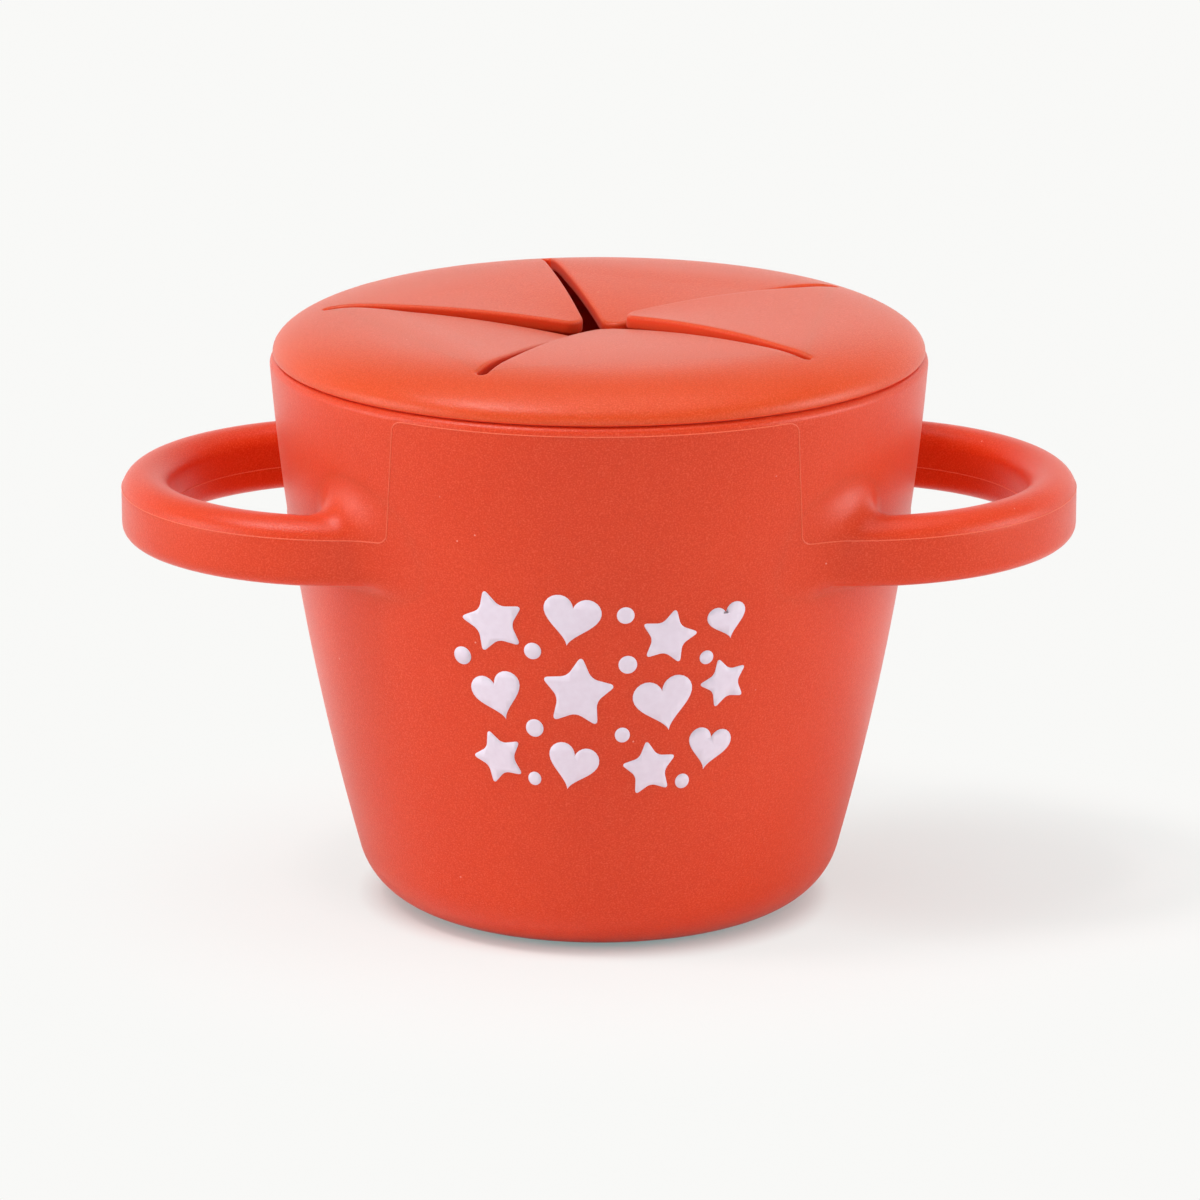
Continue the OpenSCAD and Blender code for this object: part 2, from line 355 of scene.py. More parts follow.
def loopArcPoint(q, t):  # t runs from 0 at the loop's end to 1 at the start of the blend
    r = loopMiddle + q[0]
    a = t * acos((rootPoint(q, 0)[0] - loopX) / r)
    return loopX + r * cos(a), r * sin(a), handleHeight + q[1]


def handleRings(side):
    s = handleSizes
    section = handleSection()
    half = [[loopArcPoint(q, i / s["loopSteps"]) for q in section] for i in range(1, s["loopSteps"])]
    half += [[rootPoint(q, i / s["rootSteps"]) for q in section] for i in range(s["rootSteps"] + 1)]
    half.append([(x - s["rootBite"], y * s["rootNarrow"], z) for x, y, z in half[-1]])
    other = [[(x, -y, z) for x, y, z in ring] for ring in reversed(half)]
    rings = other + [[loopArcPoint(q, 0) for q in section]] + half
    return [[(side * x, y, z) for x, y, z in ring] for ring in rings]


# the lid
sector = 2 * pi / flapSizes["count"]
hingeX = flapSizes["slitEnd"] * cos(sector / 2)
hingeZ = (lidTop(hingeX) + lidTop(flapSizes["slitEnd"])) / 2 - lidSizes["thickness"] / 2
sideIn = Vector((sin(sector / 2), -cos(sector / 2))) * flapSizes["slitInner"] / 2
slitEndPoint = Vector((cos(sector / 2), sin(sector / 2))) * flapSizes["slitEnd"]
sideOut = slitEndPoint + Vector((sin(sector / 2), -cos(sector / 2))) * flapSizes["slitOuter"] / 2
sideAngle = atan2(sideOut.y - sideIn.y, sideOut.x - sideIn.x)
apexX = sideIn.x - sideIn.y / tan(sideAngle)
tipX = apexX + flapSizes["tipRadius"] / sin(sideAngle)
rootY = (hingeX - apexX) * tan(sideAngle)
rootHalf = rootY - flapSizes["edgeRound"] / cos(sideAngle)  # half the root's width, up to its rounded edges


def flapAngle(i):
    return radians(flapSizes["firstSlit"]) + sector * (i + 0.5)


def turned(x, y, angle):
    return x * cos(angle) - y * sin(angle), x * sin(angle) + y * cos(angle)


def edgeFall(x, y):  # how far a slit's rounded edge has come down at a point, in the flap's frame
    away = Vector((x, abs(y))) - sideOut
    if away.dot(Vector((cos(sideAngle), sin(sideAngle)))) < 0:
        distance = away.dot(Vector((sin(sideAngle), -cos(sideAngle))))
    else:
        distance = (Vector((x, abs(y))) - slitEndPoint).length - flapSizes["slitOuter"] / 2
    radius = flapSizes["edgeRound"]
    short = max(0, min(radius, radius - distance))
    return radius - sqrt(radius * radius - short * short)


def innerEdge():  # round one flap, from slit end to slit end; each point has the way out from the slit
    halfColumns = flapSizes["columns"] // 2
    endSteps, cornerSteps = flapSizes["endSteps"], flapSizes["edgeSteps"]
    turnBack = sector / 2 - pi / 2
    half = []
    for i in range(endSteps + 1):  # the rounded end of the slit
        a = sector / 2 - pi / 2 * i / endSteps
        x = slitEndPoint.x + flapSizes["slitOuter"] / 2 * cos(a)
        y = slitEndPoint.y + flapSizes["slitOuter"] / 2 * sin(a)
        half.append((x, y, cos(a), sin(a)))
    for i in range(cornerSteps):  # over the rounded side of the flap's root
        inwards = flapSizes["edgeRound"] * (1 - cos(pi / 2 * i / cornerSteps)) / cos(sideAngle)
        a = turnBack * (1 - i / cornerSteps)
        half.append((hingeX, rootY - inwards, cos(a), sin(a)))
    half += [(hingeX, rootHalf * (1 - i / halfColumns), 1, 0) for i in range(halfColumns)]
    other = [(x, -y, nx, -ny) for x, y, nx, ny in reversed(half)]
    return half + [(hingeX, 0, 1, 0)] + other[:-1]


def lidRings():
    s = lidSizes
    edge = list(reversed(innerEdge()))
    total = len(edge) * flapSizes["count"]
    first = atan2(edge[0][1], edge[0][0])
    # in the flap's own frame: half way between even steps and the edge's own directions
    angles = [(atan2(p[1], p[0]) + first + 2 * pi * i / total) / 2 for i, p in enumerate(edge)]
    top = cupSizes["height"]

    def allRound(points):
        ring = []
        for i in range(flapSizes["count"]):
            ring += [(*turned(x, y, flapAngle(i)), z) for x, y, z in points]
        return ring

    def flatRing(r, z):
        return allRound([(r * cos(a), r * sin(a), z) for a in angles])

    def innerRow(share, outerRadius, out, below):  # between the flaps' edge and a plain circle
        row = []
        for (x, y, nx, ny), a in zip(edge, angles):
            px = (x + out * nx) * (1 - share) + outerRadius * cos(a) * share
            py = (y + out * ny) * (1 - share) + outerRadius * sin(a) * share
            fall = 0 if below else edgeFall(px, py)
            row.append((px, py, lidTop(sqrt(px * px + py * py)) - fall - below))
        return allRound(row)

    edgeRound, edgeSteps = flapSizes["edgeRound"], flapSizes["edgeSteps"]
    steps = [edgeRound * (1 - cos(pi / 2 * i / edgeSteps)) for i in range(edgeSteps + 1)]
    rings = [innerRow(0, s["evenFrom"], out, 0) for out in steps]
    rings += [innerRow(share, s["evenFrom"], edgeRound, 0) for share in s["innerShares"]]
    shoulderStart = s["radius"] - s["shoulder"]
    steep = asin((s["evenFrom"] - shoulderStart) / s["shoulder"])
    for i in range(1, s["shoulderSteps"] + 1):
        r = shoulderStart + s["shoulder"] * sin(steep + (pi / 2 - steep) * i / s["shoulderSteps"])
        rings.append(flatRing(r, lidTop(r)))
    skirtTop = innerRadius(top) - s["skirtGap"]
    lipRound, soft = s["edgeRound"], s["seatSoft"]
    for r, z in arcPoints((s["radius"] - lipRound, top + s["lip"]), lipRound, -15, -90, s["lipSteps"]):
        rings.append(flatRing(r, z))
    rings += [flatRing(skirtTop + soft, top + s["lip"] - lipRound), flatRing(skirtTop, top - soft)]
    ribStand = s["skirtGap"] - s["ribGap"]
    for count in range(1, s["ribs"] + 1):
        for i in range(s["ribSteps"] + 1):
            a = pi / 2 - pi * i / s["ribSteps"]
            z = top - s["ribPitch"] * count + s["ribHeight"] / 2 * sin(a)
            rings.append(flatRing(innerRadius(z) - s["skirtGap"] + ribStand * cos(a), z))
    low = top - s["skirtDepth"]
    outside = innerRadius(low) - s["skirtGap"]
    inside = skirtTop - s["skirtThickness"]
    turn, innerTurn = s["skirtRound"], s["skirtInnerRound"]
    cut = turn * s["roundCut"]
    under = lidTop(inside) - s["thickness"]
    for r, z in (
        (innerRadius(low + turn) - s["skirtGap"], low + turn),
        (outside - cut, low + cut),
        (outside - turn, low),
        (inside + innerTurn, low),
        (inside + innerTurn * s["innerRoundCut"], low + innerTurn * s["roundCut"]),
        (inside, low + innerTurn),
        (inside, low + s["skirtStraight"]),
        (inside, under - turn),
        (inside - cut, under - cut),
        (inside - turn, lidTop(inside - turn) - s["thickness"]),
    ):
        rings.append(flatRing(r, z))
    rings += [innerRow(share, inside - turn, 0, s["thickness"]) for share in s["underShares"]]
    return rings + [rings[0]]


def edgeProfile():  # the flap's rounded edge, as (out from the flat top, depth below it)
    high, low = flapSizes["edgeRound"], flapSizes["lowEdgeRound"]
    steps = flapSizes["edgeSteps"]
    bottom = lidSizes["thickness"]
    upper = arcPoints((0, high), high, -90, 0, steps)[1:]
    lower = arcPoints((high - low, bottom - low), low, 0, 90, steps)
    return upper + [(high, (high + bottom - low) / 2)] + lower


def flapRings():  # across the flap, from its root to its tip; each ring runs over the top and back below
    inset = flapSizes["edgeRound"]
    columns, sideRows, tipRows = flapSizes["columns"], flapSizes["sideRows"], flapSizes["tipRows"]
    reach = flapSizes["tipRadius"] - inset
    sideNormal = (-sin(sideAngle), cos(sideAngle))
    tipStart = (tipX + reach * sideNormal[0], reach * sideNormal[1])
    rows = []
    for i in range(sideRows):
        share = i / sideRows
        x = hingeX + (tipStart[0] - hingeX) * share
        normal = (0, 1) if i == 0 else sideNormal  # the root keeps its straight line
        rows.append((x, rootHalf + (tipStart[1] - rootHalf) * share, normal))
    for i in range(tipRows + 1):
        a = pi / 2 + sideAngle + (pi / 2 - sideAngle) * i / tipRows
        rows.append((tipX + reach * cos(a), reach * sin(a), (cos(a), sin(a))))
    profile = edgeProfile()
    widen = 1 / cos(sideAngle)
    rings = []
    for x, half, (nx, ny) in rows:
        wide = ny * (widen if nx == 0 else 1)
        rim = [(x + out * nx, half + out * wide, depth) for out, depth in profile]
        ring = [(x, half * (2 * k / columns - 1), 0) for k in range(columns + 1)] + rim
        lowX, lowHalf, lowDepth = rim[-1]
        ring += [(lowX, lowHalf * (1 - 2 * k / columns), lowDepth) for k in range(1, columns)]
        ring += [(px, -py, depth) for px, py, depth in reversed(rim)]
        rings.append([(px, py, lidTop(sqrt(px * px + py * py)) - depth) for px, py, depth in ring])
    return rings


def makeFlap(i):
    piece = growRings(f"flapMoulding{i + 1}", flapRings(), True, False)
    markInside(piece, lidInside)
    hinge = Vector((hingeX, 0, hingeZ)) * mm
    turn = Matrix.Rotation(flapAngle(i), 4, "Z")
    for vertex in piece.data.vertices:  # the flap's own set, which comes in softly at its root
        away = min(1, (hingeX - vertex.co.x / mm) / flapSizes["softRoot"])
        share = away * away * (3 - 2 * away)
        bend = Matrix.Rotation(radians(flapSizes["set"][i]) * share, 4, "Y")
        vertex.co = turn @ (hinge + bend @ (vertex.co - hinge))
    finishMesh(piece)
    return piece


# the fine line that the mould leaves: round the handles, and up and over the front and the back of the cup
lineSizes = {
    "radius": 0.08,
    "sectionTurn": 11,  # degrees above the middle of the handle's side
    "innerDrop": 1.2,  # how far below the handle's middle it runs on the inner face
    "foot": {-1: 28.8, 1: 27.5},  # how far out it leaves the root, on the left and on the right
    "head": {-1: 27.9, 1: 26.9},  # and how far out it meets the rim
    "lowCorner": 1.4,
    "topCorner": 1.4,
    "topHeight": 77.2,
    "step": 0.4,
    "castFrom": -100,  # in front of everything
    "loopSteps": 60,
    "cornerSteps": 8,
    "riseSteps": 30,
    "topSteps": 40,
    "innerLoopSteps": 40,
    "innerRootSteps": 8,
    "innerWallSteps": 16,
}


def frontPoint(x, z, targets):  # the foremost place on the cup or a handle
    start = Vector((x, lineSizes["castFrom"], z)) * mm
    hits = [target.ray_cast(start, Vector((0, 1, 0))) for target in targets]
    return x, min(hit[1].y / mm for hit in hits if hit[0]), z


def halfLine(side, targets):  # from the end of a handle's loop to the middle of the front
    s = lineSizes
    outer = crownPoint(radians(s["sectionTurn"]))
    height = handleHeight + outer[1]
    loop = [loopArcPoint(outer, i / s["loopSteps"]) for i in range(s["loopSteps"] + 1)]
    foot, head = s["foot"][side], s["head"][side]
    flat = []
    x = loop[-1][0] - s["step"]
    while x > foot + s["lowCorner"]:
        flat.append((x, height))
        x -= s["step"]
    low, high = height + s["lowCorner"], s["topHeight"] - s["topCorner"]
    flat += arcPoints((foot + s["lowCorner"], low), s["lowCorner"], 270, 180, s["cornerSteps"])
    for i in range(1, s["riseSteps"]):
        share = i / s["riseSteps"]
        flat.append((foot + (head - foot) * share, low + (high - low) * share))
    topFrom = head - s["topCorner"]
    flat += arcPoints((topFrom, high), s["topCorner"], 0, 90, s["cornerSteps"])
    flat += [(topFrom * (1 - i / s["topSteps"]), s["topHeight"]) for i in range(1, s["topSteps"] + 1)]
    return [(side * x, -y, z) for x, y, z in loop] + [frontPoint(side * x, z, targets) for x, z in flat]


def innerLine(side):  # inside a handle's opening, and along the wall there
    s = lineSizes
    inner = (-handleSizes["width"] / 2, -s["innerDrop"], -1, 0)
    half = [loopArcPoint(inner, i / s["innerLoopSteps"]) for i in range(s["innerLoopSteps"] + 1)]
    half += [rootPoint(inner, i / s["innerRootSteps"]) for i in range(1, s["innerRootSteps"] + 1)]
    x, y, z = half[-1]
    for i in range(1, s["innerWallSteps"] + 1):
        near = y * (1 - i / s["innerWallSteps"])
        half.append((wallX(near, z), near, z))
    other = [(x, -y, z) for x, y, z in reversed(half[1:-1])]
    return [(side * x, y, z) for x, y, z in half + other]


def makeLine(name, targets):
    bpy.context.view_layer.update()
    left, right = halfLine(-1, targets), halfLine(1, targets)
    front = left + list(reversed(right[:-1]))
    back = [(x, -y, z) for x, y, z in reversed(front[1:-1])]
    curve = bpy.data.curves.new(name, "CURVE")
    curve.dimensions = "3D"
    curve.bevel_depth = lineSizes["radius"] * mm
    curve.bevel_resolution = 2
    for points in (front + back, innerLine(-1), innerLine(1)):
        spline = curve.splines.new("POLY")
        spline.points.add(len(points) - 1)
        spline.use_cyclic_u = True
        for point, place in zip(spline.points, points):
            point.co = (*(Vector(place) * mm), 1)
    piece = bpy.data.objects.new(name, curve)
    bpy.context.scene.collection.objects.link(piece)
    onlySelect(piece)
    bpy.ops.object.convert(target="MESH")
    bpy.ops.object.shade_smooth()
    return bpy.context.object


# the print on the front: stars, hearts and dots, each as (kind, across, height, size, turn)
printSizes = {
    "lift": 0.04,
    "strip": 0.8,  # it is cut into strips and rows, so that it can follow the wall
    "strips": 26,
    "row": 1.5,
    "rows": (17, 38),
    "wrapRadius": 43.0,
    "starWaist": 0.52,
    "starRound": 0.16,
    "dotPoints": 28,
    "heartPoints": 48,
    "motifs": [
        ("star", -14.6, 50.2, 4.9, 14),
        ("heart", -3.8, 51.0, 4.2, -10),
        ("dot", 3.6, 51.8, 1.2, 0),
        ("star", 9.6, 48.4, 4.3, -12),
        ("heart", 18.0, 50.0, 3.0, 14),
        ("dot", -9.2, 46.4, 1.2, 0),
        ("dot", -19.6, 44.8, 1.3, 0),
        ("heart", -14.6, 39.4, 4.0, 16),
        ("star", -3.0, 40.4, 5.6, -6),
        ("dot", 4.0, 44.6, 1.3, 0),
        ("heart", 9.4, 38.6, 4.6, 12),
        ("star", 18.2, 41.0, 3.9, 18),
        ("dot", 15.2, 45.0, 1.0, 0),
        ("dot", -9.4, 35.0, 1.3, 0),
        ("dot", 3.4, 34.2, 1.1, 0),
        ("star", -15.2, 30.2, 4.3, 20),
        ("heart", -4.0, 29.4, 4.0, -14),
        ("star", 7.6, 29.0, 4.4, 8),
        ("heart", 16.6, 31.4, 3.6, -10),
        ("dot", 12.8, 26.8, 1.1, 0),
        ("dot", -9.8, 27.4, 1.0, 0),
    ],
}


def motifOutline(kind, size):
    outline = []
    if kind == "dot":
        for i in range(printSizes["dotPoints"]):
            t = 2 * pi * i / printSizes["dotPoints"]
            outline.append((size * cos(t), size * sin(t)))
    elif kind == "star":
        for i in range(10):
            r = size * (printSizes["starWaist"] if i % 2 else 1)
            outline.append((r * sin(pi * i / 5), r * cos(pi * i / 5)))
    else:  # the usual formula of a heart, which is 17 units from its middle to its tip
        for i in range(printSizes["heartPoints"]):
            t = 2 * pi * i / printSizes["heartPoints"]
            up = 13 * cos(t) - 5 * cos(2 * t) - 2 * cos(3 * t) - cos(4 * t)
            outline.append((16 * sin(t) ** 3 * size / 17, (up + 2) * size / 17))
    return outline


def makeMotif(kind, across, height, size, turn):
    outline = [turned(x, y, radians(turn)) for x, y in motifOutline(kind, size)]
    deselectAll()
    bpy.ops.mesh.primitive_circle_add(vertices=len(outline), radius=mm, fill_type="NGON")
    piece = bpy.context.object
    for vertex, (x, y) in zip(piece.data.vertices, outline):
        vertex.co = ((x + across) * mm, (y + height) * mm, 0)
    if kind == "star":
        bpy.ops.object.mode_set(mode="EDIT")
        bpy.ops.mesh.select_all(action="SELECT")
        bpy.ops.mesh.bevel(offset=size * printSizes["starRound"] * mm, segments=4, affect="VERTICES")
        bpy.ops.object.mode_set(mode="OBJECT")
    return piece


def makePrint():
    s = printSizes
    motifs = [makeMotif(*motif) for motif in s["motifs"]]
    deselectAll()
    for motif in motifs:
        motif.select_set(True)
    bpy.context.view_layer.objects.active = motifs[0]
    bpy.ops.object.join()
    piece = nameLast("frontPrint")
    bpy.ops.object.mode_set(mode="EDIT")
    for i in range(-s["strips"], s["strips"] + 1):
        bpy.ops.mesh.select_all(action="SELECT")
        bpy.ops.mesh.bisect(plane_co=(i * s["strip"] * mm, 0, 0), plane_no=(1, 0, 0))
    for i in range(*s["rows"]):
        bpy.ops.mesh.select_all(action="SELECT")
        bpy.ops.mesh.bisect(plane_co=(0, i * s["row"] * mm, 0), plane_no=(0, 1, 0))
    bpy.ops.object.mode_set(mode="OBJECT")
    for vertex in piece.data.vertices:
        angle = vertex.co.x / mm / s["wrapRadius"]
        z = vertex.co.y / mm
        r = wallRadius(z) + s["lift"]
        vertex.co = Vector((r * sin(angle), -r * cos(angle), z)) * mm
    finishMesh(piece)
    piece.modifiers.new("inkThickness", "SOLIDIFY").thickness = 2 * s["lift"] * mm
    onlySelect(piece)
    bpy.ops.object.modifier_apply(modifier="inkThickness")
    return piece


# materials

def addNode(tree, kind, place, **values):
    node = tree.nodes.new(kind)
    node.location = place
    for key, value in values.items():
        setattr(node, key, value)
    return node


siliconeDetail = {
    "mottleScale": 55,
    "grainScale": 4800,
    "broadScale": 160,
    "broadRelief": 0.6,
    "paleGrain": -0.12,  # the grain's other side turns a little towards the dust's colour
    "speckScale": 420,
    "speckSize": (0.03, 0.07),
    "speckChoice": 0.9,  # only the cells above this have a speck
    "haze": 0.06,
    # the span of the inside mask over which the painted glow comes in
    "paintedGlowSpan": (0.02, 0.35),
    "insideRoughness": 0.7,
}


def siliconeGroup():  # colour, roughness and relief of moulded silicone, in object coordinates
    d = siliconeDetail
    group = bpy.data.node_groups.new("mouldedSilicone", "ShaderNodeTree")
    # the last colour is the painted glow of the slits and the inside
    for socket in ("Colour", "Deep Colour", "Dust Colour", "Painted Glow Colour"):
        group.interface.new_socket(socket, in_out="INPUT", socket_type="NodeSocketColor")
    for socket in ("Mottle", "Grain", "Dust", "Roughness", "Inside"):
        group.interface.new_socket(socket, in_out="INPUT", socket_type="NodeSocketFloat")
    group.interface.new_socket("Colour", in_out="OUTPUT", socket_type="NodeSocketColor")
    for socket in ("Roughness", "Relief"):
        group.interface.new_socket(socket, in_out="OUTPUT", socket_type="NodeSocketFloat")
    inputs = addNode(group, "NodeGroupInput", (-1000, 0))
    outputs = addNode(group, "NodeGroupOutput", (700, 0))
    place = addNode(group, "ShaderNodeTexCoord", (-1000, -300))
    links = group.links

    def varied(texture, amount, place):  # how far a noise moves from its middle, times an input
        middle = addNode(group, "ShaderNodeMath", place, operation="SUBTRACT")
        middle.inputs[1].default_value = 0.5
        links.new(texture.outputs["Fac"], middle.inputs[0])
        moved = addNode(group, "ShaderNodeMath", (place[0] + 180, place[1]), operation="MULTIPLY")
        links.new(middle.outputs[0], moved.inputs[0])
        links.new(inputs.outputs[amount], moved.inputs[1])
        return moved

    def noise(scale, detail, where):
        texture = addNode(group, "ShaderNodeTexNoise", where)
        texture.inputs["Scale"].default_value = scale
        texture.inputs["Detail"].default_value = detail
        links.new(place.outputs["Object"], texture.inputs["Vector"])
        return texture

    mottle = noise(d["mottleScale"], 4, (-760, 200))
    grain = noise(d["grainScale"], 1, (-760, -560))
    tone = addNode(group, "ShaderNodeMath", (-340, 360), operation="ADD")
    links.new(varied(mottle, "Mottle", (-700, 420)).outputs[0], tone.inputs[0])
    links.new(varied(grain, "Grain", (-700, 560)).outputs[0], tone.inputs[1])
    share = addNode(group, "ShaderNodeMath", (-340, 520), operation="ADD", use_clamp=True)
    share.inputs[1].default_value = 0.5
    links.new(tone.outputs[0], share.inputs[0])
    skin = addNode(group, "ShaderNodeMix", (-320, 200), data_type="RGBA")
    links.new(share.outputs[0], skin.inputs["Factor"])
    links.new(inputs.outputs["Colour"], skin.inputs["A"])
    links.new(inputs.outputs["Deep Colour"], skin.inputs["B"])

    specks = addNode(group, "ShaderNodeTexVoronoi", (-760, -60))
    specks.inputs["Scale"].default_value = d["speckScale"]
    links.new(place.outputs["Object"], specks.inputs["Vector"])
    speckSize = addNode(group, "ShaderNodeMapRange", (-540, -60))
    speckSize.inputs["From Min"].default_value = d["speckSize"][0]
    speckSize.inputs["From Max"].default_value = d["speckSize"][1]
    speckSize.inputs["To Min"].default_value = 1
    speckSize.inputs["To Max"].default_value = 0
    links.new(specks.outputs["Distance"], speckSize.inputs["Value"])
    chosen = addNode(group, "ShaderNodeSeparateColor", (-540, -320))
    links.new(specks.outputs["Color"], chosen.inputs["Color"])
    few = addNode(group, "ShaderNodeMath", (-340, -320), operation="GREATER_THAN")
    few.inputs[1].default_value = d["speckChoice"]
    links.new(chosen.outputs["Red"], few.inputs[0])
    dust = addNode(group, "ShaderNodeMath", (-320, -60), operation="MULTIPLY")
    links.new(speckSize.outputs["Result"], dust.inputs[0])
    links.new(few.outputs[0], dust.inputs[1])
    dustAmount = addNode(group, "ShaderNodeMath", (-140, -60), operation="MULTIPLY")
    links.new(dust.outputs[0], dustAmount.inputs[0])
    links.new(inputs.outputs["Dust"], dustAmount.inputs[1])
    dusted = addNode(group, "ShaderNodeMix", (100, 200), data_type="RGBA")
    links.new(dustAmount.outputs[0], dusted.inputs["Factor"])
    links.new(inputs.outputs["Dust Colour"], dusted.inputs["B"])
    paler = addNode(group, "ShaderNodeMath", (-340, 700), operation="MULTIPLY", use_clamp=True)
    paler.inputs[1].default_value = d["paleGrain"]
    links.new(varied(grain, "Grain", (-700, 700)).outputs[0], paler.inputs[0])
    speckled = addNode(group, "ShaderNodeMix", (-100, 400), data_type="RGBA")
    links.new(paler.outputs[0], speckled.inputs["Factor"])
    links.new(skin.outputs["Result"], speckled.inputs["A"])
    links.new(inputs.outputs["Dust Colour"], speckled.inputs["B"])
    links.new(speckled.outputs["Result"], dusted.inputs["A"])

    # painted glow: brighter and redder in the slits and inside the cup, with a duller gloss, standing in
    # for the light that passes through the silicone and bounces between its faces
    within = addNode(group, "ShaderNodeMapRange", (100, 600), interpolation_type="SMOOTHSTEP")
    within.inputs["From Min"].default_value = d["paintedGlowSpan"][0]
    within.inputs["From Max"].default_value = d["paintedGlowSpan"][1]
    links.new(inputs.outputs["Inside"], within.inputs["Value"])
    inner = addNode(group, "ShaderNodeMix", (460, 300), data_type="RGBA")
    links.new(within.outputs["Result"], inner.inputs["Factor"])
    links.new(dusted.outputs["Result"], inner.inputs["A"])
    links.new(inputs.outputs["Painted Glow Colour"], inner.inputs["B"])
    links.new(inner.outputs["Result"], outputs.inputs["Colour"])

    haze = addNode(group, "ShaderNodeMapRange", (-320, -560))
    haze.inputs["To Min"].default_value = -d["haze"]
    haze.inputs["To Max"].default_value = d["haze"]
    links.new(grain.outputs["Fac"], haze.inputs["Value"])
    rough = addNode(group, "ShaderNodeMath", (-140, -560), operation="ADD")
    links.new(haze.outputs["Result"], rough.inputs[0])
    links.new(inputs.outputs["Roughness"], rough.inputs[1])
    duller = addNode(group, "ShaderNodeMix", (280, -300), data_type="FLOAT")
    duller.inputs["B"].default_value = d["insideRoughness"]
    links.new(within.outputs["Result"], duller.inputs["Factor"])
    links.new(rough.outputs[0], duller.inputs["A"])
    links.new(duller.outputs["Result"], outputs.inputs["Roughness"])

    broad = noise(d["broadScale"], 2, (-760, -820))
    broadPart = addNode(group, "ShaderNodeMath", (-320, -820), operation="MULTIPLY")
    broadPart.inputs[1].default_value = d["broadRelief"]
    links.new(broad.outputs["Fac"], broadPart.inputs[0])
    relief = addNode(group, "ShaderNodeMath", (-140, -820), operation="ADD")
    links.new(grain.outputs["Fac"], relief.inputs[0])
    links.new(broadPart.outputs[0], relief.inputs[1])
    raised = addNode(group, "ShaderNodeMath", (100, -820), operation="ADD")
    links.new(relief.outputs[0], raised.inputs[0])
    links.new(dust.outputs[0], raised.inputs[1])
    links.new(raised.outputs[0], outputs.inputs["Relief"])
    return group


def siliconeMaterial(name, group, look):
    material = bpy.data.materials.new(name)
    material.use_nodes = True
    tree = material.node_tree
    shader = tree.nodes["Principled BSDF"]
    skin = addNode(tree, "ShaderNodeGroup", (-500, 200), node_tree=group)
    for socket in ("Colour", "Deep Colour", "Dust Colour", "Painted Glow Colour"):
        skin.inputs[socket].default_value = (*look[socket], 1)
    for socket in ("Mottle", "Grain", "Dust", "Roughness"):
        skin.inputs[socket].default_value = look[socket]
    inside = addNode(tree, "ShaderNodeAttribute", (-760, 0), attribute_name="inside")
    tree.links.new(inside.outputs["Fac"], skin.inputs["Inside"])
    bump = addNode(tree, "ShaderNodeBump", (-240, -100))
    bump.inputs["Strength"].default_value = look["bump"]
    bump.inputs["Distance"].default_value = look["bumpDepth"]
    tree.links.new(skin.outputs["Colour"], shader.inputs["Base Color"])
    tree.links.new(skin.outputs["Roughness"], shader.inputs["Roughness"])
    tree.links.new(skin.outputs["Relief"], bump.inputs["Height"])
    tree.links.new(bump.outputs["Normal"], shader.inputs["Normal"])
    shader.inputs["IOR"].default_value = look["ior"]
    shader.inputs["Subsurface Weight"].default_value = look["soft"]
    shader.inputs["Subsurface Radius"].default_value = look["softRadius"]
    shader.inputs["Subsurface Scale"].default_value = look["softScale"]
    shader.inputs["Sheen Weight"].default_value = look["sheen"]
    shader.inputs["Sheen Roughness"].default_value = look["sheenRoughness"]
    return material


siliconeLook = {
    "Colour": (0.83, 0.060, 0.007),
    "Deep Colour": (0.73, 0.042, 0.003),
    "Dust Colour": (0.92, 0.40, 0.30),
    # the last colour is painted glow, for the slits and the inside of the cup
    "Painted Glow Colour": (0.94, 0.055, 0.002),
    "Mottle": 0.8,
    "Grain": 2.6,
    "Dust": 0.7,
    "Roughness": 0.34,
    "bump": 0.5,
    "bumpDepth": 0.00008,
    "ior": 1.41,
    "soft": 0.3,
    "softRadius": (1.0, 0.25, 0.12),
    "softScale": 0.0022,
    "sheen": 0.1,
    "sheenRoughness": 0.4,
}
# the lid's silicone is paler and more orange than the cup's: painted sheen, standing in for the whitish
# reflection that grazes the lid's top
lidPaintedSheenLook = {**siliconeLook, "Colour": (0.82, 0.080, 0.009), "Deep Colour": (0.72, 0.060, 0.004)}
# the mould line is lighter than the silicone round it: painted highlight, standing in for the light its
# raised ridge catches
linePaintedHighlightLook = {**siliconeLook, "Colour": (0.93, 0.16, 0.07), "Deep Colour": (0.90, 0.12, 0.05), "soft": 0.0}
inkLook = {
    "noiseScale": 900,
    "tones": {0.3: (0.86, 0.74, 0.85), 0.7: (0.90, 0.79, 0.90)},  # by the noise's value
    "bump": 0.3,
    "bumpDepth": 0.00002,
    "roughness": 0.5,
}


